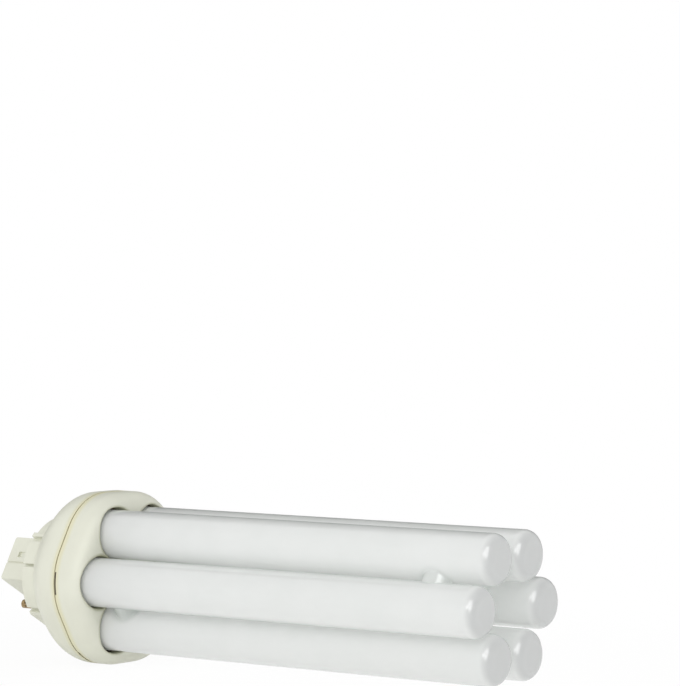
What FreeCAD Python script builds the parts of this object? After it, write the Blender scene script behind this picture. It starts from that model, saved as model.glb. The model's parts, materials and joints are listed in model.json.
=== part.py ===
import FreeCAD
import Part

import math
import os

# Plug-in compact fluorescent lamp, in millimetres, lying at rest on a flat surface.
# Each piece is drawn along the lamp's own axis, X, with x = 0 at the seam between collar and base shell.
# Angles about the axis start at the front, which faces minus Y, and grow towards the top, plus Z.

# Glass legs and the bridges that join them in series
LEG_COUNT = 6
LEG_DIAMETER = 12.8
LEG_GAP = 1.2
LEG_END = 127.45
LEG_ROOT = -3.5
LEG_EDGE_RADIUS = 2.8
BRIDGE_DIAMETER = 7.2
BRIDGE_FLARE = 0.45
FAR_BRIDGE_SETBACK = 16.45
NEAR_BRIDGE_CLEARANCE = 2.8
FAR_BRIDGES = (0, 120, 240)
NEAR_BRIDGES = (180, 300)

# Pressed seals at the roots of the two electrode legs
NEAR_ELECTRODE_ANGLE = 60
FAR_ELECTRODE_ANGLE = 120
SEAL_LENGTH = 4.6
SEAL_WIDTH = 8.4
SEAL_THICKNESS = 3.0
SEAL_EDGE_RADIUS = 1.0

# Collar: a six lobed cover, each lobe over one leg
COLLAR_MARGIN = 3.25
LOBE_OFFSET = 7.0
COLLAR_FRONT = 7.4
COLLAR_RIM_RADIUS = 4.4
COLLAR_WALL = 1.8
COLLAR_FRONT_WALL = 3.4
HOLE_CLEARANCE = 0.45
HOLE_RING_OFFSET = 0.25
HOLE_LIP_RADIUS = 0.3
SLOT_WIDTH = 6.0
SLOT_DEPTH = 0.4
SLOT_ANGLES = (0, 120, 180, 300)

# Tongues inside the collar that plug into the base shell
TONGUE_WIDTH = 9.0
TONGUE_LENGTH = 1.6
TONGUE_ROOT = 1.8
TONGUE_THICKNESS = 1.2
TONGUE_CLEARANCE = 0.15

# Cement bed round the legs
CEMENT_FIT = 0.05
CEMENT_BACK = -1.4
CEMENT_TONGUE_GAP = 0.6
CEMENT_SLOT_RECESS = 1.0

# Base shell: a bell that runs from the lobed seam to a round skirt
BASE_WALL = 2.0
BELL_STRAIGHT = 1.8
BELL_ROUND_RADIUS = 11.6
BELL_CONE_ANGLE = 42.6
BELL_SECTIONS = 5
BELL_END_LOBE_OFFSET = 1.0
SEAM_GROOVE_WIDTH = 0.35
SEAM_GROOVE_DEPTH = 0.4

# Keyed skirt and end plate, turned about the axis with the post and the pins
CAP_ANGLE = 30.0
BELL_SHOULDER = 0.75
SKIRT_DEPTH = 4.7
SKIRT_WALL = 1.1
KEY_HEIGHT = 1.25
SKIRT_EDGE_RADIUS = 0.3
PIN_SECTOR_ANGLE = 50.0
POST_SECTOR_START_ANGLE = -60.0
POST_SECTOR_GROOVE_ANGLE = -19.4
POST_SECTOR_RESUME_ANGLE = -17.0
POST_SECTOR_END_ANGLE = 6.0
KEY_RIB_START_ANGLE = 11.0
KEY_RIB_END_ANGLE = 15.5
PLATE_THICKNESS = 2.2

# Keyed post
POST_DEPTH = 13.8
POST_LENGTH = 15.7
POST_WIDTH = 12.5
POST_WALL = 2.2
POST_CORNER_RADIUS = 0.6
POST_END_CHAMFER = 0.4
POST_STEP_FROM_CORNER = 4.6
POST_STEP_DEPTH = 0.45
POST_GROOVE_WIDTH = 0.7
POST_GROOVE_DEPTH = 0.65
LATCH_FROM_TIP = 3.0
LATCH_LENGTH = 3.2
LATCH_WIDTH = 1.6
LATCH_FROM_MIDDLE = 1.25
LATCH_DEPTH = 0.65

# Contact pins
PIN_PITCH = 8.0
PIN_ROW_SPACING = 23.0
PIN_DIAMETER = 2.35
PIN_LENGTH = 6.0
PIN_BORE = 1.0
PIN_TIP_CHAMFER = 0.45
PIN_SHANK_DIAMETER = 3.0
PIN_FLANGE_DIAMETER = 3.5
PIN_FLANGE_THICKNESS = 0.6
PIN_FLANGE_CLEARANCE = 0.18
PIN_HOLE_CLEARANCE = 0.05
CRIMP_FROM_TIP = 1.5
CRIMP_LENGTH = 0.8
CRIMP_WIDTH = 0.8
CRIMP_DEPTH = 0.35

# Lead wires
WIRE_DIAMETER = 0.6
WIRE_PITCH = 4.0
WIRE_STUB = 1.6
WIRE_BEND_RADIUS = 0.9
WIRE_TO_PIN_TIP = 2.5

# Values that follow from the sizes above
ORIGIN = FreeCAD.Vector(0, 0, 0)
AXIS = FreeCAD.Vector(1, 0, 0)
LOBE_STEP = 360.0 / LEG_COUNT
LEG_RADIUS = LEG_DIAMETER / 2
LEG_RING_RADIUS = (LEG_DIAMETER + LEG_GAP) / (2 * math.sin(math.pi / LEG_COUNT))
HOLE_RADIUS = LEG_RADIUS + HOLE_CLEARANCE
HOLE_RING_RADIUS = LEG_RING_RADIUS + HOLE_RING_OFFSET
COLLAR_REACH = LEG_RING_RADIUS + LEG_RADIUS + COLLAR_MARGIN
FLAT_REACH = COLLAR_REACH - LOBE_OFFSET * (1 - math.cos(math.pi / LEG_COUNT))
FAR_BRIDGE_X = LEG_END - FAR_BRIDGE_SETBACK
NEAR_BRIDGE_X = COLLAR_FRONT + NEAR_BRIDGE_CLEARANCE + BRIDGE_DIAMETER / 2
SEAL_END = LEG_ROOT - SEAL_LENGTH
PIN_RING_RADIUS = math.hypot(PIN_PITCH / 2, PIN_ROW_SPACING / 2)
SKIRT_BORE_RADIUS = PIN_RING_RADIUS + PIN_FLANGE_DIAMETER / 2 + PIN_FLANGE_CLEARANCE
SKIRT_CORE_RADIUS = SKIRT_BORE_RADIUS + SKIRT_WALL
SKIRT_RADIUS = SKIRT_CORE_RADIUS + KEY_HEIGHT
BELL_END_RADIUS = SKIRT_RADIUS + BELL_SHOULDER

# Each electrode leg's angle, and the angle at which its two wires stand side by side
ELECTRODES = ((FAR_ELECTRODE_ANGLE, CAP_ANGLE), (NEAR_ELECTRODE_ANGLE, 0.0))


def spoke(angle, radius=1.0, x=0.0):
    """Return the point at a radius and an angle about the lamp's axis."""
    turn = math.radians(angle)
    return FreeCAD.Vector(x, -radius * math.cos(turn), radius * math.sin(turn))


def turned(shape, angle):
    """Return a copy of a shape turned about the lamp's axis."""
    copy = shape.copy()
    copy.rotate(ORIGIN, AXIS, -angle)
    return copy


def merged(shapes):
    """Return one solid made from overlapping shapes."""
    return shapes[0].multiFuse(shapes[1:]).removeSplitter()


def lobed_wire(x, reach, lobe_offset):
    """Return a rounded polygon with one lobe over each leg; reach is measured at the lobes."""
    lobe_radius = reach - lobe_offset
    half = LOBE_STEP / 2
    edges = []
    for index in range(LEG_COUNT):
        middle = index * LOBE_STEP
        centre = spoke(middle, lobe_offset, x)
        arc = [centre + spoke(middle + side * half, lobe_radius) for side in (-1, 0, 1)]
        following = spoke(middle + LOBE_STEP, lobe_offset, x) + spoke(middle + half, lobe_radius)
        edges.append(Part.Arc(*arc).toShape())
        edges.append(Part.LineSegment(arc[2], following).toShape())
    return Part.Wire(edges)


def lobed_prism(start, end, inset):
    """Return a straight block with the collar's outline, drawn in by an inset."""
    face = Part.Face(lobed_wire(start, COLLAR_REACH - inset, LOBE_OFFSET))
    return face.extrude(AXIS * (end - start))


def collar_block(inset):
    """Return the collar's filled form with its rounded rim, drawn in by an inset."""
    front = COLLAR_FRONT - inset
    block = lobed_prism(0, front, inset)
    rim = [edge for edge in block.Edges if edge.BoundBox.XMin > front - CEMENT_FIT]
    return block.makeFillet(COLLAR_RIM_RADIUS - inset, rim)


def collar_cavity(inset):
    """Return the room inside the collar, behind its thick front, drawn in by an inset from its walls."""
    room = collar_block(COLLAR_WALL + inset)
    return room.common(lobed_prism(0, COLLAR_FRONT - COLLAR_FRONT_WALL - inset, COLLAR_WALL))


def leg_cylinder(angle, radius, start, end, ring_radius=LEG_RING_RADIUS):
    """Return a plain cylinder along the lamp, on the ring of the legs' axes unless another is given."""
    return Part.makeCylinder(radius, end - start, spoke(angle, ring_radius, start), AXIS)


def flats_zone(margin, front):
    """Return six bars up to a front, one across each flat, wider than a tongue by a margin."""
    width = TONGUE_WIDTH + 2 * margin
    span = TONGUE_LENGTH + front
    corner = FreeCAD.Vector(-TONGUE_LENGTH, -COLLAR_REACH, -width / 2)
    bar = Part.makeBox(span, COLLAR_REACH, width, corner)
    return merged([turned(bar, (index + 0.5) * LOBE_STEP) for index in range(LEG_COUNT)])


def bridge_directions():
    """Return the middle angle and the axial place of each bridge."""
    far = [(start + LOBE_STEP / 2, FAR_BRIDGE_X) for start in FAR_BRIDGES]
    near = [(start + LOBE_STEP / 2, NEAR_BRIDGE_X) for start in NEAR_BRIDGES]
    return far + near


def make_bridge(middle, x):
    """Return a short cross tube between the axes of two neighbouring legs."""
    first = spoke(middle - LOBE_STEP / 2, LEG_RING_RADIUS, x)
    second = spoke(middle + LOBE_STEP / 2, LEG_RING_RADIUS, x)
    run = second - first
    return Part.makeCylinder(BRIDGE_DIAMETER / 2, run.Length, first, run)


def make_leg(angle):
    """Return one closed leg with rounded edges at its flat ends."""
    leg = leg_cylinder(angle, LEG_RADIUS, LEG_ROOT, LEG_END)
    rims = [edge for edge in leg.Edges if edge.BoundBox.XLength < LEG_EDGE_RADIUS]
    return leg.makeFillet(LEG_EDGE_RADIUS, rims)


def make_seal(angle, side_angle):
    """Return the flat pressed end of an electrode leg, with its wires side by side at an angle."""
    corner = FreeCAD.Vector(SEAL_END, -SEAL_WIDTH / 2, -SEAL_THICKNESS / 2)
    block = Part.makeBox(SEAL_LENGTH + LEG_EDGE_RADIUS, SEAL_WIDTH, SEAL_THICKNESS, corner)
    long_edges = [edge for edge in block.Edges if edge.BoundBox.XLength > SEAL_LENGTH]
    block = turned(block.makeFillet(SEAL_EDGE_RADIUS, long_edges), side_angle)
    block.translate(spoke(angle, LEG_RING_RADIUS))
    return block


def make_discharge_tube():
    """Return the sealed glass: six legs, five bridges and two pressed seals."""
    legs = [make_leg(index * LOBE_STEP) for index in range(LEG_COUNT)]
    bridges = [make_bridge(middle, x) for middle, x in bridge_directions()]
    glass = merged(legs + bridges)
    middles = [spoke(middle, LEG_RING_RADIUS * math.cos(math.pi / LEG_COUNT), x)
               for middle, x in bridge_directions()]
    joints = [edge for edge in glass.Edges
              if any((edge.CenterOfMass - middle).Length < LEG_GAP * 2 for middle in middles)]
    glass = glass.makeFillet(BRIDGE_FLARE, joints)
    return merged([glass] + [make_seal(*electrode) for electrode in ELECTRODES])


def make_tongues():
    """Return the six tongues with their roots inside the collar's wall."""
    outer = BASE_WALL + TONGUE_CLEARANCE
    inner = outer + TONGUE_THICKNESS
    plug = lobed_prism(-TONGUE_LENGTH, TONGUE_ROOT, outer)
    root = lobed_prism(0, TONGUE_ROOT, COLLAR_WALL / 2)
    ring = merged([plug, root]).cut(lobed_prism(-TONGUE_LENGTH, TONGUE_ROOT, inner))
    return ring.common(flats_zone(0, TONGUE_ROOT))


def make_leg_hole():
    """Return what one leg's hole takes out of the collar: a bore set a little out, with an eased lip."""
    block = collar_block(0)
    middle = spoke(0, HOLE_RING_RADIUS)
    bored = block.cut(leg_cylinder(0, HOLE_RADIUS, 0, COLLAR_FRONT * 2, HOLE_RING_RADIUS))
    lip = [edge for edge in bored.Edges if edge.BoundBox.XMin > COLLAR_FRONT / 2
           and all(abs(math.hypot(corner.Y - middle.y, corner.Z - middle.z) - HOLE_RADIUS) < CEMENT_FIT
                   for corner in edge.Vertexes)]
    plug = block.cut(bored.makeFillet(HOLE_LIP_RADIUS, lip))
    bore = leg_cylinder(0, HOLE_RADIUS, -TONGUE_LENGTH, COLLAR_FRONT * 2, HOLE_RING_RADIUS)
    return merged([plug, bore])


def make_tube_collar():
    """Return the front cover with its leg holes, tongues and seam slots."""
    cover = collar_block(0).cut(collar_cavity(0))
    cover = merged([cover, make_tongues()])
    hole = make_leg_hole()
    holes = [turned(hole, index * LOBE_STEP) for index in range(LEG_COUNT)]
    corner = FreeCAD.Vector(0, -COLLAR_REACH * 2, -SLOT_WIDTH / 2)
    slot = Part.makeBox(SLOT_DEPTH, COLLAR_REACH * 2, SLOT_WIDTH, corner)
    slots = [turned(slot, angle) for angle in SLOT_ANGLES]
    return cover.cut(holes + slots).removeSplitter()


def make_tube_cement():
    """Return the cement: a bed in the front of the collar, and a run round each leg that fills the slots."""
    inset = COLLAR_WALL + CEMENT_FIT
    start = TONGUE_ROOT + CEMENT_FIT
    bed = collar_cavity(CEMENT_FIT).common(lobed_prism(start, COLLAR_FRONT, inset))
    runs = lobed_prism(CEMENT_BACK, start, BASE_WALL + CEMENT_FIT)
    runs = runs.cut(flats_zone(CEMENT_TONGUE_GAP, start))
    corner = FreeCAD.Vector(CEMENT_FIT, -COLLAR_REACH, CEMENT_FIT - SLOT_WIDTH / 2)
    fill = Part.makeBox(SLOT_DEPTH - 2 * CEMENT_FIT, COLLAR_WALL + BASE_WALL,
                        SLOT_WIDTH - 2 * CEMENT_FIT, corner)
    fills = merged([bed, runs] + [turned(fill, angle) for angle in SLOT_ANGLES])
    bed = fills.common(lobed_prism(CEMENT_BACK, COLLAR_FRONT, CEMENT_SLOT_RECESS))
    legs = [leg_cylinder(index * LOBE_STEP, LEG_RADIUS + CEMENT_FIT, CEMENT_BACK, COLLAR_FRONT)
            for index in range(LEG_COUNT)]
    return bed.cut(legs)


def bell_profile(inset, end_radius):
    """Return the bell's side view as places along the axis with the reach at each."""
    round_radius = BELL_ROUND_RADIUS - inset
    cone = math.radians(BELL_CONE_ANGLE)
    points = []
    for index in range(BELL_SECTIONS):
        turn = cone * index / (BELL_SECTIONS - 1)
        x = -BELL_STRAIGHT - round_radius * math.sin(turn)
        points.append((x, COLLAR_REACH - inset - round_radius * (1 - math.cos(turn))))
    last_x, last_reach = points[-1]
    cone_run = (last_reach - end_radius) / math.tan(cone)
    points.append((last_x - cone_run / 2, (last_reach + end_radius) / 2))
    points.append((last_x - cone_run, end_radius))
    return points


def bell_end(inset, end_radius):
    """Return the place where the bell's cone reaches a radius."""
    return bell_profile(inset, end_radius)[-1][0]


def make_bell(inset, end_radius):
    """Return the bell's filled form, from the lobed seam to its nearly round end."""
    profile = bell_profile(inset, end_radius)
    start = profile[0][0]
    run = profile[-1][0] - start
    wires = []
    for x, reach in profile:
        share = (x - start) / run
        offset = LOBE_OFFSET + (BELL_END_LOBE_OFFSET - LOBE_OFFSET) * share
        wires.append(lobed_wire(x, reach, offset))
    return merged([Part.makeLoft(wires, True, False), lobed_prism(start, 0, inset)])


CONE_END = bell_end(0, BELL_END_RADIUS)
PLATE_FACE = CONE_END - SKIRT_DEPTH
PLATE_INSIDE = PLATE_FACE + PLATE_THICKNESS
POST_TIP = PLATE_FACE - POST_DEPTH
PIN_TIP = PLATE_FACE - PIN_LENGTH
PIN_PLACES = [spoke(CAP_ANGLE, side * PIN_PITCH / 2) + spoke(CAP_ANGLE + 90, row * PIN_ROW_SPACING / 2)
              for row in (1, -1) for side in (1, -1)]


def skirt_sector(start, end):
    """Return a raised sector of the skirt with eased edges, at angles from the cap's own turn."""
    depth = CONE_END + KEY_HEIGHT - PLATE_FACE
    wedge = Part.makeCylinder(SKIRT_RADIUS, depth, FreeCAD.Vector(PLATE_FACE, 0, 0), AXIS, end - start)
    outer = [edge for edge in wedge.Edges if edge.BoundBox.XMin < PLATE_FACE + SKIRT_EDGE_RADIUS
             and all(math.hypot(corner.Y, corner.Z) > SKIRT_CORE_RADIUS for corner in edge.Vertexes)]
    centre = wedge.CenterOfMass
    middle = math.degrees(math.atan2(centre.z, -centre.y))
    return turned(wedge.makeFillet(SKIRT_EDGE_RADIUS, outer), CAP_ANGLE + (start + end) / 2 - middle)


def make_skirt():
    """Return the skirt: raised sectors with keyways between them, and a flat beside each row of pins."""
    start = FreeCAD.Vector(PLATE_FACE, 0, 0)
    depth = CONE_END + KEY_HEIGHT - PLATE_FACE
    pieces = [Part.makeCylinder(SKIRT_CORE_RADIUS, depth, start, AXIS)]
    corner = FreeCAD.Vector(PLATE_FACE, -SKIRT_RADIUS * 2, SKIRT_CORE_RADIUS)
    beyond = Part.makeBox(SKIRT_DEPTH, SKIRT_RADIUS * 4, SKIRT_RADIUS, corner)
    flats = []
    for half_turn in (0, 180):
        for first, last in ((90 - PIN_SECTOR_ANGLE / 2, 90 + PIN_SECTOR_ANGLE / 2),
                            (POST_SECTOR_START_ANGLE, POST_SECTOR_GROOVE_ANGLE),
                            (POST_SECTOR_RESUME_ANGLE, POST_SECTOR_END_ANGLE),
                            (KEY_RIB_START_ANGLE, KEY_RIB_END_ANGLE)):
            pieces.append(skirt_sector(half_turn + first, half_turn + last))
        flats.append(turned(beyond, CAP_ANGLE + half_turn))
    return merged(pieces).cut(flats)


def post_box(tip, root, length, width):
    """Return a straight block along the axis at the post's turn."""
    corner = FreeCAD.Vector(tip, -length / 2, -width / 2)
    return turned(Part.makeBox(root - tip, length, width, corner), CAP_ANGLE)


def make_latch():
    """Return the wedge that cuts a latch notch: a square shoulder at the tip and a ramp behind it."""
    face = POST_LENGTH / 2 - POST_STEP_DEPTH
    shoulder = POST_TIP + LATCH_FROM_TIP
    bottom = LATCH_FROM_MIDDLE - LATCH_WIDTH / 2
    corners = [FreeCAD.Vector(shoulder, -face + LATCH_DEPTH, bottom),
               FreeCAD.Vector(shoulder, -face - POST_STEP_DEPTH, bottom),
               FreeCAD.Vector(shoulder + LATCH_LENGTH, -face - POST_STEP_DEPTH, bottom),
               FreeCAD.Vector(shoulder + LATCH_LENGTH, -face, bottom)]
    side = Part.Face(Part.makePolygon(corners + corners[:1]))
    return side.extrude(FreeCAD.Vector(0, 0, LATCH_WIDTH))


def make_post():
    """Return the keyed post with a stepped band, a groove and a latch notch on each narrow side."""
    root = PLATE_INSIDE
    post = post_box(POST_TIP, root, POST_LENGTH, POST_WIDTH)
    long_edges = [edge for edge in post.Edges if edge.BoundBox.XLength > POST_DEPTH / 2]
    post = post.makeFillet(POST_CORNER_RADIUS, long_edges)
    tip_edges = [edge for edge in post.Edges if edge.BoundBox.XMax < POST_TIP + POST_END_CHAMFER]
    post = post.makeChamfer(POST_END_CHAMFER, tip_edges)
    step_corner = FreeCAD.Vector(POST_TIP - POST_DEPTH, -POST_LENGTH / 2 - POST_STEP_DEPTH,
                                 POST_STEP_FROM_CORNER - POST_WIDTH / 2)
    step = Part.makeBox(POST_DEPTH * 2, POST_STEP_DEPTH * 2, POST_WIDTH, step_corner)
    groove = Part.makeBox(POST_DEPTH * 2, POST_GROOVE_DEPTH * 2, POST_GROOVE_WIDTH,
                          FreeCAD.Vector(step_corner.x, -POST_LENGTH / 2 - POST_GROOVE_DEPTH, step_corner.z))
    cuts = [turned(shape, CAP_ANGLE + half_turn)
            for shape in (step, groove, make_latch()) for half_turn in (0, 180)]
    return post.cut(cuts)


def make_base_shell():
    """Return the rear shell: bell, skirt, end plate and hollow post, with pin holes."""
    body = merged([make_bell(0, BELL_END_RADIUS), make_skirt(), make_post()])
    bore_end = bell_end(BASE_WALL, SKIRT_BORE_RADIUS)
    bore = Part.makeCylinder(SKIRT_BORE_RADIUS, bore_end + SKIRT_WALL - PLATE_INSIDE,
                             FreeCAD.Vector(PLATE_INSIDE, 0, 0), AXIS)
    hollow = merged([make_bell(BASE_WALL, SKIRT_BORE_RADIUS), bore])
    hollow_post = post_box(POST_TIP + POST_WALL, PLATE_INSIDE + PLATE_THICKNESS / 4,
                           POST_LENGTH - 2 * POST_WALL, POST_WIDTH - 2 * POST_WALL)
    groove = lobed_prism(-SEAM_GROOVE_WIDTH, 0, 0).cut(lobed_prism(-SEAM_GROOVE_WIDTH, 0, SEAM_GROOVE_DEPTH))
    hole_radius = PIN_SHANK_DIAMETER / 2 + PIN_HOLE_CLEARANCE
    holes = [Part.makeCylinder(hole_radius, PLATE_THICKNESS, place + AXIS * PLATE_FACE, AXIS)
             for place in PIN_PLACES]
    return body.cut([hollow, hollow_post, groove] + holes).removeSplitter()


def make_pin(place):
    """Return one tubular pin, held in the plate by its shank and flange and crimped near its tip."""
    radius = PIN_DIAMETER / 2
    shank = PIN_SHANK_DIAMETER / 2
    flange = PIN_FLANGE_DIAMETER / 2
    top = PLATE_INSIDE + PIN_FLANGE_THICKNESS
    outline = [(PIN_TIP, PIN_BORE / 2),
               (PIN_TIP, radius - PIN_TIP_CHAMFER),
               (PIN_TIP + PIN_TIP_CHAMFER, radius),
               (PLATE_FACE, radius),
               (PLATE_FACE, shank),
               (PLATE_INSIDE, shank),
               (PLATE_INSIDE, flange),
               (top, flange),
               (top, PIN_BORE / 2)]
    points = [FreeCAD.Vector(x, 0, z) for x, z in outline]
    pin = Part.Face(Part.makePolygon(points + points[:1])).revolve(ORIGIN, AXIS, 360)
    crimp_corner = FreeCAD.Vector(PIN_TIP + CRIMP_FROM_TIP, radius - CRIMP_DEPTH, -CRIMP_WIDTH / 2)
    crimp = Part.makeBox(CRIMP_LENGTH, PIN_DIAMETER, CRIMP_WIDTH, crimp_corner)
    pin = pin.cut([turned(crimp, CAP_ANGLE + half_turn) for half_turn in (0, 180)])
    pin.translate(place)
    return pin


def bent_path(points, bend_radius):
    """Return a path of straight runs joined by tangent arcs."""
    edges = []
    start = points[0]
    for before, corner, after in zip(points, points[1:], points[2:]):
        inward = (before - corner).normalize()
        outward = (after - corner).normalize()
        half_angle = inward.getAngle(outward) / 2
        setback = bend_radius / math.tan(half_angle)
        to_middle = (inward + outward).normalize()
        middle = corner + to_middle * (bend_radius / math.sin(half_angle) - bend_radius)
        first = corner + inward * setback
        last = corner + outward * setback
        edges.append(Part.LineSegment(start, first).toShape())
        edges.append(Part.Arc(first, middle, last).toShape())
        start = last
    edges.append(Part.LineSegment(start, points[-1]).toShape())
    return Part.Wire(edges)


def make_wire(electrode, side, place):
    """Return one lead wire from a leg's seal into the bore of a pin."""
    leg_angle, side_angle = electrode
    start = spoke(leg_angle, LEG_RING_RADIUS, SEAL_END) + spoke(side_angle, side * WIRE_PITCH / 2)
    end_x = PIN_TIP + WIRE_TO_PIN_TIP
    flange_top = PLATE_INSIDE + PIN_FLANGE_THICKNESS
    points = [start,
              start - AXIS * WIRE_STUB,
              place + AXIS * (flange_top + WIRE_STUB),
              place + AXIS * end_x]
    profile = Part.Wire(Part.Circle(start, AXIS, WIRE_DIAMETER / 2).toShape())
    return bent_path(points, WIRE_BEND_RADIUS).makePipeShell([profile], True, False)


def resting_turn():
    """Return the angle at which the collar's lower flat and the lower leg ends share one floor."""
    rim_centre = (COLLAR_FRONT - COLLAR_RIM_RADIUS, -(FLAT_REACH - COLLAR_RIM_RADIUS))
    lowest_leg = LEG_RING_RADIUS * math.cos(math.pi / LEG_COUNT)
    end_centre = (LEG_END - LEG_EDGE_RADIUS, -(lowest_leg + LEG_RADIUS - LEG_EDGE_RADIUS))
    run = end_centre[0] - rim_centre[0]
    rise = end_centre[1] - rim_centre[1]
    slope = math.atan2(rise, run)
    turn = slope + math.asin((COLLAR_RIM_RADIUS - LEG_EDGE_RADIUS) / math.hypot(run, rise))
    floor = rim_centre[1] * math.cos(turn) - rim_centre[0] * math.sin(turn) - COLLAR_RIM_RADIUS
    return turn, floor


def resting_placement(post, glass):
    """Return the placement that lays the lamp down with its footprint's middle at the origin."""
    turn, floor = resting_turn()
    laid = FreeCAD.Placement(ORIGIN, FreeCAD.Rotation(FreeCAD.Vector(0, 1, 0), math.degrees(turn)))
    back = post.transformGeometry(laid.toMatrix()).optimalBoundingBox().XMin
    front = glass.transformGeometry(laid.toMatrix()).optimalBoundingBox().XMax
    return FreeCAD.Placement(FreeCAD.Vector(-(back + front) / 2, 0, -floor), laid.Rotation)


def make_pieces():
    """Return every piece of the lamp by name, along the lamp's own axis."""
    pieces = {"discharge_tube": make_discharge_tube(),
              "tube_collar": make_tube_collar(),
              "tube_cement": make_tube_cement(),
              "base_shell": make_base_shell()}
    for index, place in enumerate(PIN_PLACES):
        electrode = ELECTRODES[index // 2]
        side = 1 if index % 2 == 0 else -1
        pieces[f"contact_pin_{index + 1}"] = make_pin(place)
        pieces[f"lead_wire_{index + 1}"] = make_wire(electrode, side, place)
    return pieces


def main():
    """Build the lamp, lay it down and write one file for each piece."""
    os.makedirs("parts", exist_ok=True)
    pieces = make_pieces()
    placement = resting_placement(pieces["base_shell"], pieces["discharge_tube"])
    for name, shape in pieces.items():
        shape.Placement = placement.multiply(shape.Placement)
        shape.exportStep(f"parts/{name}.step")
        print(name, len(shape.Solids), "solid", shape.isValid(), round(shape.Volume, 2), "mm3")
    print("tilt", round(math.degrees(resting_turn()[0]), 4), "offset", placement.Base)
    print("plate", round(PLATE_FACE, 4), "post tip", round(POST_TIP, 4), "pin tip", round(PIN_TIP, 4))


main()
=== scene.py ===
"""Studio picture of a plug-in compact fluorescent lamp lying on a pale floor."""

from __future__ import annotations

import json
import logging
import math
from dataclasses import dataclass
from enum import Enum
from typing import Any

import bpy
from mathutils import Matrix, Vector

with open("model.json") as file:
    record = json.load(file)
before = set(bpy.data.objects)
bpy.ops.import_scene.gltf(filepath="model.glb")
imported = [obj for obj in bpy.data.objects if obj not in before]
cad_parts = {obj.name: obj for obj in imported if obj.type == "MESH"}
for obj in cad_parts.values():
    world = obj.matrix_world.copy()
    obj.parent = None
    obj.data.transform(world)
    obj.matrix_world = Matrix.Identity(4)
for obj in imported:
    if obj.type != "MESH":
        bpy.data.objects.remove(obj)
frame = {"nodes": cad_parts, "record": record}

LOG = logging.getLogger("lamp_scene")
MM = 0.001
QUARTER_TURN_DEG = 90.0
ACROSS_THE_AXIS = (0.0, 1.0, 1.0)
WHITE = (1.0, 1.0, 1.0, 1.0)
PHOTO_WIDTH_PX = 680
PHOTO_HEIGHT_PX = 686


def linear(hex_code: str) -> tuple[float, float, float, float]:
    """Turn an sRGB hex colour into linear values.

    Args:
        hex_code: Six hex digits, with or without a leading hash.

    Returns:
        Red, green, blue and an alpha of one.
    """
    digits = hex_code.lstrip("#")
    channels = [int(digits[i:i + 2], 16) / 255 for i in (0, 2, 4)]
    return (*[c / 12.92 if c <= 0.04045 else ((c + 0.055) / 1.055) ** 2.4 for c in channels], 1.0)


def add_node(
    tree: bpy.types.NodeTree,
    kind: str,
    settings: dict[str, Any] | None = None,
    inputs: dict[str | int, Any] | None = None,
) -> bpy.types.Node:
    """Add one node with its settings and links.

    Args:
        tree: The node tree that the node joins.
        kind: Blender's name for the kind of node.
        settings: Values for the node's own properties.
        inputs: Values for its sockets, or outputs of other nodes to link there.

    Returns:
        The new node.
    """
    node = tree.nodes.new(kind)
    for name, value in (settings or {}).items():
        setattr(node, name, value)
    for key, value in (inputs or {}).items():
        if isinstance(value, bpy.types.NodeSocket):
            tree.links.new(value, node.inputs[key])
        else:
            node.inputs[key].default_value = value
    return node


def new_material(name: str) -> tuple[bpy.types.Material, bpy.types.NodeTree]:
    """Make a material with an empty node tree.

    Args:
        name: The material's name.

    Returns:
        The material and its tree.
    """
    material = bpy.data.materials.new(name)
    material.use_nodes = True
    material.node_tree.nodes.clear()
    return material, material.node_tree


class Pick(Enum):
    """Which of several values is kept."""

    LEAST = "MINIMUM"
    MOST = "MAXIMUM"


def keep_one(
    tree: bpy.types.NodeTree, values: list[bpy.types.NodeSocket], which: Pick,
) -> bpy.types.NodeSocket:
    """Chain nodes that keep the least or the most of several values.

    Args:
        tree: The node tree that the nodes join.
        values: The sockets with the values.
        which: Which of the values is kept.

    Returns:
        The socket with the value that is kept.
    """
    kept = values[0]
    for value in values[1:]:
        kept = add_node(tree, "ShaderNodeMath", {"operation": which.value}, {0: kept, 1: value}).outputs[0]
    return kept


def outward(angle_deg: float) -> Vector:
    """Return the direction away from the lamp's axis at an angle round it, from the front upwards."""
    turn = math.radians(angle_deg)
    return Vector((0.0, -math.cos(turn), math.sin(turn)))


@dataclass(frozen=True)
class LampPose:
    """Where the lamp's own axis lies in the row frame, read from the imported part."""

    tilt: float
    seam: Vector

    @classmethod
    def from_frame(cls) -> LampPose:
        """Work out the pose from the pin mounts and the base shell's open end.

        Returns:
            The lamp's tilt and the middle of its seam.
        """
        pins = [mount for mount in frame["record"]["mounts"] if mount["kind"] == "pin"]
        rearward = Vector(pins[0]["axis"])
        middle = sum((Vector(pin["pos_m"]) for pin in pins), Vector()) / len(pins)
        along = -rearward
        shell = frame["nodes"]["base_shell"].data.vertices
        reach = max((vertex.co - middle).dot(along) for vertex in shell)
        return cls(tilt=math.atan2(rearward.z, -rearward.x), seam=middle + along * reach)

    def coordinates(self, tree: bpy.types.NodeTree) -> bpy.types.NodeSocket:
        """Add nodes that turn Object coordinates into the lamp's own frame.

        Args:
            tree: The material's node tree.

        Returns:
            The socket with the place from the seam, in metres, along the lamp's own axes.
        """
        place = add_node(tree, "ShaderNodeTexCoord")
        mapping = add_node(tree, "ShaderNodeMapping", {"vector_type": "TEXTURE"}, {
            "Vector": place.outputs["Object"], "Location": self.seam, "Rotation": (0.0, self.tilt, 0.0)})
        return mapping.outputs["Vector"]

    def on_axis(self, from_seam_mm: float) -> Vector:
        """Return a point of the lamp's axis, so many millimetres from the seam, in the row frame."""
        return self.seam + Matrix.Rotation(self.tilt, 3, "Y") @ (Vector((from_seam_mm, 0.0, 0.0)) * MM)


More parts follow.
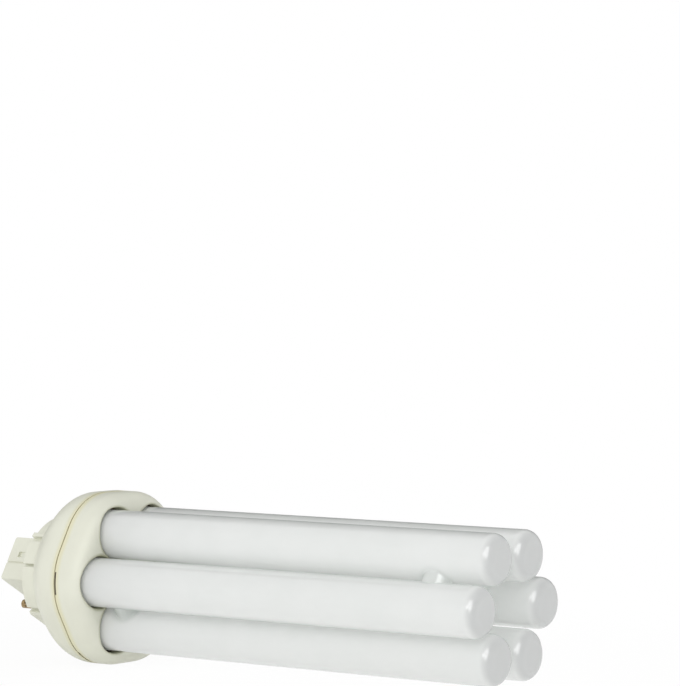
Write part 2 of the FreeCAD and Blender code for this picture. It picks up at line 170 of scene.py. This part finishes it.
@dataclass(frozen=True)
class GlassBridge:
    """One short cross tube between two legs, and how much greyish green it gets: bare glass, and near the
    collar also a painted reflection of the collar.
    """

    along_mm: float
    angle_deg: float
    bare_and_reflection_share: float

    def middle(self, ring_mm: float) -> Vector:
        """Return the bridge's middle in the lamp's own frame, in metres."""
        return (Vector((self.along_mm, 0.0, 0.0)) + outward(self.angle_deg) * ring_mm) * MM


FAR_BRIDGES = tuple(
    GlassBridge(along_mm=111.0, angle_deg=angle, bare_and_reflection_share=0.45) for angle in (30, 150, 270))
# at these bridges by the collar most of the greyish green is a painted reflection of the olive collar, the
# rest is thin coat
NEAR_BRIDGES = tuple(
    GlassBridge(along_mm=13.8, angle_deg=angle, bare_and_reflection_share=0.9) for angle in (210, 330))


@dataclass(frozen=True)
class CoatedGlass:
    """Drawn glass tube with a white phosphor coat inside.

    The coat scatters light both ways, so the tubes glow evenly and stay pale where they face each other.
    It is a little cloudy, and greyer on the closed ends, which is painted shade for end faces turned from
    the light. The bridges have little coat and look greyish green; at the bridges near the collar more
    of that green is a painted reflection of the collar.
    """

    pose: LampPose
    colour: str = "FBFCFB"
    thin_colour: str = "F1F4F2"
    thin_share: float = 0.3
    cloud_mm: float = 9.0
    cloud_detail: float = 3.0
    cloud_roughness: float = 0.45
    cloud_range: tuple[float, float] = (0.35, 0.75)
    # painted shade: the closed end faces are made greyer than the coat
    end_shade_colour: str = "DEDFDF"
    end_shade_mm: tuple[float, float] = (125.2, 127.1)
    # greyish green at the bridges: bare glass, and at the near bridges also a painted reflection of the
    # collar
    bare_and_reflection_colour: str = "CDD5CF"
    bare_and_reflection_reach_mm: tuple[float, float] = (2.4, 5.6)
    bridges: tuple[GlassBridge, ...] = FAR_BRIDGES + NEAR_BRIDGES
    bridge_ring_mm: float = 12.12
    see_through_share: float = 0.43
    roughness: float = 0.04
    ior: float = 1.6

    def build(self) -> bpy.types.Material:
        """Make the material, with the coat uneven along the tubes and thin at the bridges.

        Returns:
            The material.
        """
        material, tree = new_material("phosphor_coated_glass")
        place = self.pose.coordinates(tree)
        cloud = add_node(tree, "ShaderNodeTexNoise", inputs={
            "Vector": place, "Scale": 1 / (self.cloud_mm * MM),
            "Detail": self.cloud_detail, "Roughness": self.cloud_roughness})
        thin = add_node(tree, "ShaderNodeMapRange", inputs={
            "Value": cloud.outputs["Fac"], "From Min": self.cloud_range[0], "From Max": self.cloud_range[1],
            "To Min": 0.0, "To Max": self.thin_share})
        coat = add_node(tree, "ShaderNodeMix", {"data_type": "RGBA"}, {
            "Factor": thin.outputs["Result"], "A": linear(self.colour), "B": linear(self.thin_colour)})
        along = add_node(tree, "ShaderNodeSeparateXYZ", inputs={"Vector": place})
        # painted shade on the end faces of the tubes
        end_shade = add_node(tree, "ShaderNodeMapRange", {"interpolation_type": "SMOOTHSTEP"}, {
            "Value": along.outputs["X"], "From Min": self.end_shade_mm[0] * MM, "From Max": self.end_shade_mm[1] * MM})
        tube = add_node(tree, "ShaderNodeMix", {"data_type": "RGBA"}, {
            "Factor": end_shade.outputs["Result"], "A": coat.outputs["Result"], "B": linear(self.end_shade_colour)})
        colour = add_node(tree, "ShaderNodeMix", {"data_type": "RGBA"}, {
            "Factor": self._bare_and_reflection(tree, place), "A": tube.outputs["Result"], "B": linear(self.bare_and_reflection_colour)})
        wall = add_node(tree, "ShaderNodeBsdfPrincipled", inputs={
            "Base Color": colour.outputs["Result"], "Roughness": self.roughness, "IOR": self.ior,
            "Coat Weight": 1.0, "Coat Roughness": self.roughness, "Coat IOR": self.ior})
        through = add_node(tree, "ShaderNodeBsdfTranslucent", inputs={"Color": colour.outputs["Result"]})
        body = add_node(tree, "ShaderNodeMixShader", inputs={
            0: self.see_through_share, 1: wall.outputs[0], 2: through.outputs[0]})
        add_node(tree, "ShaderNodeOutputMaterial", inputs={"Surface": body.outputs[0]})
        return material

    def _bare_and_reflection(self, tree: bpy.types.NodeTree, place: bpy.types.NodeSocket) -> bpy.types.NodeSocket:
        """Add nodes for bare glass and, at the near bridges, the painted reflection of the collar, from a
        bridge's own share to nothing away from it.

        Args:
            tree: The material's node tree.
            place: The place in the lamp's own frame.

        Returns:
            The socket with the share of bare glass and painted reflection.
        """
        shares = []
        for bridge in self.bridges:
            apart = add_node(tree, "ShaderNodeVectorMath", {"operation": "DISTANCE"}, {
                0: place, 1: bridge.middle(self.bridge_ring_mm)})
            bare_and_reflection_here = add_node(tree, "ShaderNodeMapRange", {"interpolation_type": "SMOOTHSTEP"}, {
                "Value": apart.outputs["Value"],
                "From Min": self.bare_and_reflection_reach_mm[0] * MM, "From Max": self.bare_and_reflection_reach_mm[1] * MM,
                "To Min": bridge.bare_and_reflection_share, "To Max": 0.0})
            shares.append(bare_and_reflection_here.outputs["Result"])
        return keep_one(tree, shares, Pick.MOST)


@dataclass(frozen=True)
class CementSmear:
    """A stretch of the seam painted dark brown for cement, and in the slots also painted shade: its middle
    and how far it runs each way.
    """

    angle_deg: float
    reach_mm: float


# in the slots the dark brown is cement and painted shade
SLOT_SMEARS = tuple(CementSmear(angle_deg=angle, reach_mm=3.0) for angle in (0, 120, 180, 300))
SIDE_SMEAR = CementSmear(angle_deg=311.0, reach_mm=1.2)


@dataclass(frozen=True)
class MouldedPlastic:
    """Ivory polyester, injection moulded in a lightly spark eroded tool: satin with a faint fine grain.

    It is yellowed beside the seam and brown with cement in the seam's slots, where the dark brown is
    also painted shade. Round the tube holes and on the webs between them it carries a painted olive
    shade. The real grain is finer than half a millimetre and is drawn coarser so that it shows.
    """

    pose: LampPose
    colour: str = "E1E2D3"
    deep_colour: str = "DADACB"
    deep_share: float = 0.5
    mottle_mm: float = 7.0
    mottle_detail: float = 2.0
    mottle_range: tuple[float, float] = (0.35, 0.7)
    stain_colour: str = "DDD9B4"
    stain_share: float = 0.8
    stain_mm: tuple[float, float] = (0.3, 2.0)
    seam_colour: str = "AE9F78"
    seam_middle_mm: float = -0.17
    seam_half_mm: float = 0.18
    # dark brown of cement and painted shade in the seam's slots
    slot_cement_and_shade_colour: str = "38231B"
    smears: tuple[CementSmear, ...] = (*SLOT_SMEARS, SIDE_SMEAR)
    # painted olive shade round the tube holes and on the webs between them
    rim_shade_colour: str = "95966F"
    rim_shade_share: float = 0.9
    rim_shade_mm: tuple[float, float] = (6.6, 8.0)
    rim_shade_from_seam_mm: float = 1.0
    leg_angles_deg: tuple[float, ...] = (0, 60, 120, 180, 240, 300)
    leg_ring_mm: float = 14.0
    grain_mm: float = 0.5
    grain_detail: float = 2.0
    grain_depth_mm: float = 0.02
    grain_strength: float = 0.25
    roughness: float = 0.46
    ior: float = 1.55

    def build(self) -> bpy.types.Material:
        """Make the material, from the plain skin to the seam, the painted shade at the rims and the grain.

        Returns:
            The material.
        """
        material, tree = new_material("moulded_ivory_polyester")
        place = self.pose.coordinates(tree)
        mottle = add_node(tree, "ShaderNodeTexNoise", inputs={
            "Vector": place, "Scale": 1 / (self.mottle_mm * MM), "Detail": self.mottle_detail})
        deep = add_node(tree, "ShaderNodeMapRange", inputs={
            "Value": mottle.outputs["Fac"], "From Min": self.mottle_range[0],
            "From Max": self.mottle_range[1], "To Min": 0.0, "To Max": self.deep_share})
        skin = add_node(tree, "ShaderNodeMix", {"data_type": "RGBA"}, {
            "Factor": deep.outputs["Result"], "A": linear(self.colour), "B": linear(self.deep_colour)})
        along = add_node(tree, "ShaderNodeSeparateXYZ", inputs={"Vector": place}).outputs["X"]
        from_seam = add_node(tree, "ShaderNodeMath", {"operation": "ABSOLUTE"}, {0: along})
        stain = add_node(tree, "ShaderNodeMapRange", {"interpolation_type": "SMOOTHSTEP"}, {
            "Value": from_seam.outputs[0], "From Min": self.stain_mm[0] * MM,
            "From Max": self.stain_mm[1] * MM, "To Min": self.stain_share, "To Max": 0.0})
        yellowed = add_node(tree, "ShaderNodeMix", {"data_type": "RGBA"}, {
            "Factor": stain.outputs["Result"], "A": skin.outputs["Result"], "B": linear(self.stain_colour)})
        in_seam = add_node(tree, "ShaderNodeMath", {"operation": "COMPARE"}, {
            0: along, 1: self.seam_middle_mm * MM, 2: self.seam_half_mm * MM})
        # the seam's line, and in the slots cement brown with painted shade
        gap = add_node(tree, "ShaderNodeMix", {"data_type": "RGBA"}, {
            "Factor": self._cement_and_shade(tree, place),
            "A": linear(self.seam_colour), "B": linear(self.slot_cement_and_shade_colour)})
        seamed = add_node(tree, "ShaderNodeMix", {"data_type": "RGBA"}, {
            "Factor": in_seam.outputs[0], "A": yellowed.outputs["Result"], "B": gap.outputs["Result"]})
        # painted shade: olive darkening round the tube holes and on the webs between them
        rim_shaded = add_node(tree, "ShaderNodeMix", {"data_type": "RGBA"}, {
            "Factor": self._rim_shade(tree, place, along),
            "A": seamed.outputs["Result"], "B": linear(self.rim_shade_colour)})
        grain = add_node(tree, "ShaderNodeTexNoise", inputs={
            "Vector": place, "Scale": 1 / (self.grain_mm * MM), "Detail": self.grain_detail})
        bump = add_node(tree, "ShaderNodeBump", inputs={
            "Height": grain.outputs["Fac"], "Strength": self.grain_strength,
            "Distance": self.grain_depth_mm * MM})
        shader = add_node(tree, "ShaderNodeBsdfPrincipled", inputs={
            "Base Color": rim_shaded.outputs["Result"], "Normal": bump.outputs["Normal"],
            "Roughness": self.roughness, "IOR": self.ior})
        add_node(tree, "ShaderNodeOutputMaterial", inputs={"Surface": shader.outputs["BSDF"]})
        return material

    def _rim_shade(
        self, tree: bpy.types.NodeTree, place: bpy.types.NodeSocket, along: bpy.types.NodeSocket,
    ) -> bpy.types.NodeSocket:
        """Add nodes for the painted shade that rises towards the rims of the collar's six holes.

        Args:
            tree: The material's node tree.
            place: The place in the lamp's own frame.
            along: The distance from the seam along the lamp.

        Returns:
            The socket with the share of the painted rim shade.
        """
        across = add_node(tree, "ShaderNodeVectorMath", {"operation": "MULTIPLY"}, {
            0: place, 1: ACROSS_THE_AXIS})
        distances = []
        for angle in self.leg_angles_deg:
            apart = add_node(tree, "ShaderNodeVectorMath", {"operation": "DISTANCE"}, {
                0: across.outputs[0], 1: outward(angle) * (self.leg_ring_mm * MM)})
            distances.append(apart.outputs["Value"])
        share = add_node(tree, "ShaderNodeMapRange", {"interpolation_type": "SMOOTHSTEP"}, {
            "Value": keep_one(tree, distances, Pick.LEAST), "From Min": self.rim_shade_mm[0] * MM,
            "From Max": self.rim_shade_mm[1] * MM, "To Min": self.rim_shade_share, "To Max": 0.0})
        on_collar = add_node(tree, "ShaderNodeMath", {"operation": "GREATER_THAN"}, {
            0: along, 1: self.rim_shade_from_seam_mm * MM})
        rim_shade_node = add_node(tree, "ShaderNodeMath", {"operation": "MULTIPLY"}, {
            0: share.outputs["Result"], 1: on_collar.outputs[0]})
        return rim_shade_node.outputs[0]

    def _cement_and_shade(self, tree: bpy.types.NodeTree, place: bpy.types.NodeSocket) -> bpy.types.NodeSocket:
        """Add nodes that are one where the plastic is painted dark brown, for cement and in the slots for
        shade, at the seam's slots and beside one.

        Args:
            tree: The material's node tree.
            place: The place in the lamp's own frame.

        Returns:
            The socket with one at a smear and nothing elsewhere.
        """
        smeared = []
        for smear in self.smears:
            out = add_node(tree, "ShaderNodeVectorMath", {"operation": "DOT_PRODUCT"}, {
                0: place, 1: outward(smear.angle_deg)})
            aside = add_node(tree, "ShaderNodeVectorMath", {"operation": "DOT_PRODUCT"}, {
                0: place, 1: outward(smear.angle_deg + QUARTER_TURN_DEG)})
            near = add_node(tree, "ShaderNodeMath", {"operation": "COMPARE"}, {
                0: aside.outputs["Value"], 1: 0.0, 2: smear.reach_mm * MM})
            this_side = add_node(tree, "ShaderNodeMath", {"operation": "GREATER_THAN"}, {
                0: out.outputs["Value"], 1: 0.0})
            both = add_node(tree, "ShaderNodeMath", {"operation": "MULTIPLY"}, {
                0: near.outputs[0], 1: this_side.outputs[0]})
            smeared.append(both.outputs[0])
        return keep_one(tree, smeared, Pick.MOST)


@dataclass(frozen=True)
class DrawnBrass:
    """Drawn brass tube: a warm and fairly sharp mirror with small dark blotches of tarnish."""

    pose: LampPose
    colour: str = "AE9770"
    tarnish: str = "33261E"
    blotch_mm: float = 0.5
    blotch_detail: float = 3.0
    blotch_range: tuple[float, float] = (0.4, 0.8)
    roughness: float = 0.14

    def build(self) -> bpy.types.Material:
        """Make the material.

        Returns:
            The material.
        """
        material, tree = new_material("drawn_brass")
        place = self.pose.coordinates(tree)
        blotch = add_node(tree, "ShaderNodeTexNoise", inputs={
            "Vector": place, "Scale": 1 / (self.blotch_mm * MM), "Detail": self.blotch_detail})
        share = add_node(tree, "ShaderNodeMapRange", inputs={
            "Value": blotch.outputs["Fac"],
            "From Min": self.blotch_range[0], "From Max": self.blotch_range[1]})
        colour = add_node(tree, "ShaderNodeMix", {"data_type": "RGBA"}, {
            "Factor": share.outputs["Result"], "A": linear(self.colour), "B": linear(self.tarnish)})
        shader = add_node(tree, "ShaderNodeBsdfPrincipled", inputs={
            "Base Color": colour.outputs["Result"], "Metallic": 1.0, "Roughness": self.roughness})
        add_node(tree, "ShaderNodeOutputMaterial", inputs={"Surface": shader.outputs["BSDF"]})
        return material


@dataclass(frozen=True)
class BasingCement:
    """Baked basing cement: dull dark brown, darker than the real cement as painted shade for the shaded
    slots where it shows, rough and crumbly, with paler grit.
    """

    pose: LampPose
    # brown darkened further as painted shade, since the cement shows only in the shaded slots
    colour: str = "33231A"
    pale_colour: str = "4E3A29"
    grit_mm: float = 0.6
    grit_detail: float = 4.0
    grit_depth_mm: float = 0.2
    grit_strength: float = 0.6
    roughness: float = 0.85

    def build(self) -> bpy.types.Material:
        """Make the material.

        Returns:
            The material.
        """
        material, tree = new_material("baked_basing_cement")
        place = self.pose.coordinates(tree)
        grit = add_node(tree, "ShaderNodeTexNoise", inputs={
            "Vector": place, "Scale": 1 / (self.grit_mm * MM), "Detail": self.grit_detail})
        colour = add_node(tree, "ShaderNodeMix", {"data_type": "RGBA"}, {
            "Factor": grit.outputs["Fac"], "A": linear(self.colour), "B": linear(self.pale_colour)})
        bump = add_node(tree, "ShaderNodeBump", inputs={
            "Height": grit.outputs["Fac"], "Strength": self.grit_strength,
            "Distance": self.grit_depth_mm * MM})
        shader = add_node(tree, "ShaderNodeBsdfPrincipled", inputs={
            "Base Color": colour.outputs["Result"], "Normal": bump.outputs["Normal"],
            "Roughness": self.roughness})
        add_node(tree, "ShaderNodeOutputMaterial", inputs={"Surface": shader.outputs["BSDF"]})
        return material


@dataclass(frozen=True)
class DrawnCopper:
    """Bare drawn copper wire: a soft reddish mirror that is browner in patches."""

    pose: LampPose
    colour: str = "B87348"
    tarnish: str = "7A4A30"
    patch_mm: float = 1.2
    roughness: float = 0.35

    def build(self) -> bpy.types.Material:
        """Make the material.

        Returns:
            The material.
        """
        material, tree = new_material("drawn_copper")
        place = self.pose.coordinates(tree)
        patch = add_node(tree, "ShaderNodeTexNoise", inputs={
            "Vector": place, "Scale": 1 / (self.patch_mm * MM)})
        colour = add_node(tree, "ShaderNodeMix", {"data_type": "RGBA"}, {
            "Factor": patch.outputs["Fac"], "A": linear(self.colour), "B": linear(self.tarnish)})
        shader = add_node(tree, "ShaderNodeBsdfPrincipled", inputs={
            "Base Color": colour.outputs["Result"], "Metallic": 1.0, "Roughness": self.roughness})
        add_node(tree, "ShaderNodeOutputMaterial", inputs={"Surface": shader.outputs["BSDF"]})
        return material


def dress(node: str, material: bpy.types.Material) -> None:
    """Give a CAD node a material.

    Args:
        node: The node's name.
        material: The finish that it gets.
    """
    slots = frame["nodes"][node].data.materials
    slots.clear()
    slots.append(material)
    LOG.info("dressed %s with %s", node, material.name)


PIN_NUMBERS = range(1, 5)


@dataclass
class Lamp:
    """The lamp's pieces and their finishes."""

    pose: LampPose
    glass: str = "discharge_tube"
    mouldings: tuple[str, ...] = ("tube_collar", "base_shell")
    cement: str = "tube_cement"
    pins: tuple[str, ...] = tuple(f"contact_pin_{number}" for number in PIN_NUMBERS)
    wires: tuple[str, ...] = tuple(f"lead_wire_{number}" for number in PIN_NUMBERS)

    def dress(self) -> None:
        """Give every piece its finish."""
        dress(self.glass, CoatedGlass(self.pose).build())
        plastic = MouldedPlastic(self.pose).build()
        for moulding in self.mouldings:
            dress(moulding, plastic)
        dress(self.cement, BasingCement(self.pose).build())
        brass = DrawnBrass(self.pose).build()
        for pin in self.pins:
            dress(pin, brass)
        copper = DrawnCopper(self.pose).build()
        for wire in self.wires:
            dress(wire, copper)


@dataclass(frozen=True)
class LightPatch:
    """A patch of the tent that shows only in gloss.

    It has a direction, a soft edge between two cosines of the angle from there, and a level that it adds
    to the tent's white.
    """

    side: tuple[float, float, float]
    edge: tuple[float, float]
    level: float


WINDOW = LightPatch(side=(0.75, -0.5, 0.43), edge=(0.87, 0.985), level=4.0)
DARK_PANEL = LightPatch(side=(-0.7, 0.66, 0.26), edge=(0.66, 0.86), level=-1.0)


@dataclass
class Studio:
    """A pale floor inside a white tent whose light is strongest low behind the camera's left shoulder.

    The floor lets light through from below, more under the tubes than under the cap. In gloss, the tent
    has a bright window in front of the lamp and a dark panel behind it, for the edges of the glass.
    """

    floor_depth_m: float = 0.505
    floor_width_m: float = 3.0
    floor_behind_m: float = 0.45
    floor_colour: str = "FAFAF9"
    floor_white_share: float = 0.93
    through_share: tuple[float, float] = (0.1, 0.85)
    through_from_m: tuple[float, float] = (-0.06, -0.02)
    shadow_reach_m: tuple[float, float] = (0.08, 0.2)
    shadow_squeeze: tuple[float, float, float] = (0.5, 1.0, 1.0)
    tent_mean: float = 0.885
    tent_swing: float = 0.24
    bright_side: tuple[float, float, float] = (0.05, -0.88, -0.47)
    patches: tuple[LightPatch, ...] = (WINDOW, DARK_PANEL)
    key_size_m: float = 0.34
    key_watts: float = 1.3
    key_place_m: tuple[float, float, float] = (0.55, -1.06, 0.53)
    key_aim_from_seam_mm: float = 50.0

    def build(self, pose: LampPose) -> None:
        """Make the floor, the tent and the soft key light.

        Args:
            pose: The lamp's pose, for the point on its axis that the key light faces.
        """
        self._floor()
        self._tent()
        self._key(pose.on_axis(self.key_aim_from_seam_mm))

    @staticmethod
    def _seen(tree: bpy.types.NodeTree, path: bpy.types.Node) -> bpy.types.NodeSocket:
        """Add nodes that are one for what the camera sees directly, in gloss and through glass.

        Args:
            tree: The node tree of the floor or the tent.
            path: Its Light Path node.

        Returns:
            The socket with one for such rays and nothing for the light that falls on the lamp.
        """
        direct = add_node(tree, "ShaderNodeMath", {"operation": "ADD", "use_clamp": True}, {
            0: path.outputs["Is Camera Ray"], 1: path.outputs["Is Transmission Ray"]})
        seen = add_node(tree, "ShaderNodeMath", {"operation": "ADD", "use_clamp": True}, {
            0: direct.outputs[0], 1: path.outputs["Is Glossy Ray"]})
        return seen.outputs[0]

    def _floor(self) -> None:
        """Make the floor, which reads as white and keeps a part of the shadow close to the lamp."""
        unit_m = 1.0
        bpy.ops.object.select_all(action="DESELECT")
        bpy.ops.mesh.primitive_plane_add(size=unit_m)
        floor = bpy.context.object
        floor.name = "studio_floor"
        for vertex in floor.data.vertices:
            vertex.co.x *= self.floor_width_m
            vertex.co.y = self.floor_behind_m + (vertex.co.y - unit_m / 2) * self.floor_depth_m
        material, tree = new_material("pale_acrylic_floor")
        place = add_node(tree, "ShaderNodeTexCoord").outputs["Object"]
        top = add_node(tree, "ShaderNodeBsdfDiffuse", inputs={"Color": linear(self.floor_colour)})
        below = add_node(tree, "ShaderNodeBsdfTranslucent", inputs={"Color": linear(self.floor_colour)})
        along = add_node(tree, "ShaderNodeSeparateXYZ", inputs={"Vector": place})
        through = add_node(tree, "ShaderNodeMapRange", {"interpolation_type": "SMOOTHSTEP"}, {
            "Value": along.outputs["X"],
            "From Min": self.through_from_m[0], "From Max": self.through_from_m[1],
            "To Min": self.through_share[0], "To Max": self.through_share[1]})
        sheet = add_node(tree, "ShaderNodeMixShader", inputs={
            0: through.outputs["Result"], 1: top.outputs[0], 2: below.outputs[0]})
        squeezed = add_node(tree, "ShaderNodeVectorMath", {"operation": "MULTIPLY"}, {
            0: place, 1: self.shadow_squeeze})
        apart = add_node(tree, "ShaderNodeVectorMath", {"operation": "LENGTH"}, {0: squeezed.outputs[0]})
        white = add_node(tree, "ShaderNodeMapRange", {"interpolation_type": "SMOOTHSTEP"}, {
            "Value": apart.outputs["Value"],
            "From Min": self.shadow_reach_m[0], "From Max": self.shadow_reach_m[1],
            "To Min": self.floor_white_share, "To Max": 1.0})
        path = add_node(tree, "ShaderNodeLightPath")
        share = add_node(tree, "ShaderNodeMath", {"operation": "MULTIPLY"}, {
            0: self._seen(tree, path), 1: white.outputs["Result"]})
        glow = add_node(tree, "ShaderNodeEmission", inputs={"Color": WHITE, "Strength": 1.0})
        mixed = add_node(tree, "ShaderNodeMixShader", inputs={
            0: share.outputs[0], 1: sheet.outputs[0], 2: glow.outputs[0]})
        add_node(tree, "ShaderNodeOutputMaterial", inputs={"Surface": mixed.outputs[0]})
        floor.data.materials.append(material)

    def _tent(self) -> None:
        """Make the world: white where it is seen, and as light on the lamp stronger in front than behind."""
        world = bpy.data.worlds.new("studio_tent")
        world.use_nodes = True
        tree = world.node_tree
        tree.nodes.clear()
        direction = add_node(tree, "ShaderNodeTexCoord").outputs["Generated"]
        facing = add_node(tree, "ShaderNodeVectorMath", {"operation": "DOT_PRODUCT"}, {
            0: direction, 1: Vector(self.bright_side).normalized()})
        light = add_node(tree, "ShaderNodeMath", {"operation": "MULTIPLY_ADD"}, {
            0: facing.outputs["Value"], 1: self.tent_swing, 2: self.tent_mean})
        path = add_node(tree, "ShaderNodeLightPath")
        shown: bpy.types.NodeSocket | float = 1.0
        for patch in self.patches:
            beside = add_node(tree, "ShaderNodeVectorMath", {"operation": "DOT_PRODUCT"}, {
                0: direction, 1: Vector(patch.side).normalized()})
            accent = add_node(tree, "ShaderNodeMapRange", {"interpolation_type": "SMOOTHSTEP"}, {
                "Value": beside.outputs["Value"], "From Min": patch.edge[0], "From Max": patch.edge[1],
                "To Min": 0.0, "To Max": patch.level})
            shown = add_node(tree, "ShaderNodeMath", {"operation": "MULTIPLY_ADD"}, {
                0: accent.outputs["Result"], 1: path.outputs["Is Glossy Ray"], 2: shown}).outputs[0]
        strength = add_node(tree, "ShaderNodeMix", inputs={
            "Factor": self._seen(tree, path), "A": light.outputs[0], "B": shown})
        tent = add_node(tree, "ShaderNodeBackground", inputs={
            "Color": WHITE, "Strength": strength.outputs["Result"]})
        add_node(tree, "ShaderNodeOutputWorld", inputs={"Surface": tent.outputs[0]})
        bpy.context.scene.world = world

    def _key(self, target: Vector) -> None:
        """Hang the large soft key light.

        Args:
            target: The point that it faces.
        """
        light = bpy.data.lights.new("front_softbox", "AREA")
        light.shape = "SQUARE"
        light.size = self.key_size_m
        light.energy = self.key_watts
        softbox = bpy.data.objects.new("front_softbox", light)
        softbox.location = target + Vector(self.key_place_m)
        softbox.rotation_euler = (target - softbox.location).to_track_quat("-Z", "Y").to_euler()
        bpy.context.scene.collection.objects.link(softbox)


@dataclass
class PhotoCamera:
    """A camera at the photograph's viewing angle."""

    azimuth_deg: float = 36.14
    elevation_deg: float = -0.08
    roll_deg: float = -1.39
    focal_px: float = 2998.4
    distance_mm: float = 762.2
    aim_from_seam_mm: float = 60.0
    aim_px: tuple[float, float] = (293.85, 590.84)
    sensor_mm: float = 36.0

    def build(self, pose: LampPose) -> None:
        """Make the camera and set it as the scene's own.

        Args:
            pose: The lamp's pose, for the point on its axis that the camera is set from.
        """
        azimuth, elevation, roll = (
            math.radians(angle) for angle in (self.azimuth_deg, self.elevation_deg, self.roll_deg))
        back = Vector((
            math.sin(azimuth) * math.cos(elevation),
            -math.cos(azimuth) * math.cos(elevation),
            math.sin(elevation)))
        level = Vector((math.cos(azimuth), math.sin(azimuth), 0.0))
        plumb = back.cross(level)
        right = level * math.cos(roll) + plumb * math.sin(roll)
        up = plumb * math.cos(roll) - level * math.sin(roll)
        metres_per_px = self.distance_mm * MM / self.focal_px
        aside = (self.aim_px[0] - PHOTO_WIDTH_PX / 2) * metres_per_px
        below = (self.aim_px[1] - PHOTO_HEIGHT_PX / 2) * metres_per_px
        aim = pose.on_axis(self.aim_from_seam_mm)
        data = bpy.data.cameras.new("photo_camera")
        data.sensor_fit = "VERTICAL"
        data.sensor_height = self.sensor_mm
        data.lens = self.focal_px * self.sensor_mm / PHOTO_HEIGHT_PX
        camera = bpy.data.objects.new("photo_camera", data)
        turn = Matrix((right, up, back)).transposed().to_4x4()
        place = aim + back * (self.distance_mm * MM) - right * aside + up * below
        camera.matrix_world = Matrix.Translation(place) @ turn
        bpy.context.scene.collection.objects.link(camera)
        bpy.context.scene.camera = camera


def main() -> None:
    """Dress the lamp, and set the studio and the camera."""
    logging.basicConfig(level=logging.INFO)
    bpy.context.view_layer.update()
    pose = LampPose.from_frame()
    Lamp(pose).dress()
    Studio().build(pose)
    PhotoCamera().build(pose)
    bpy.context.scene.view_settings.view_transform = "Standard"


if __name__ == "__main__":
    main()
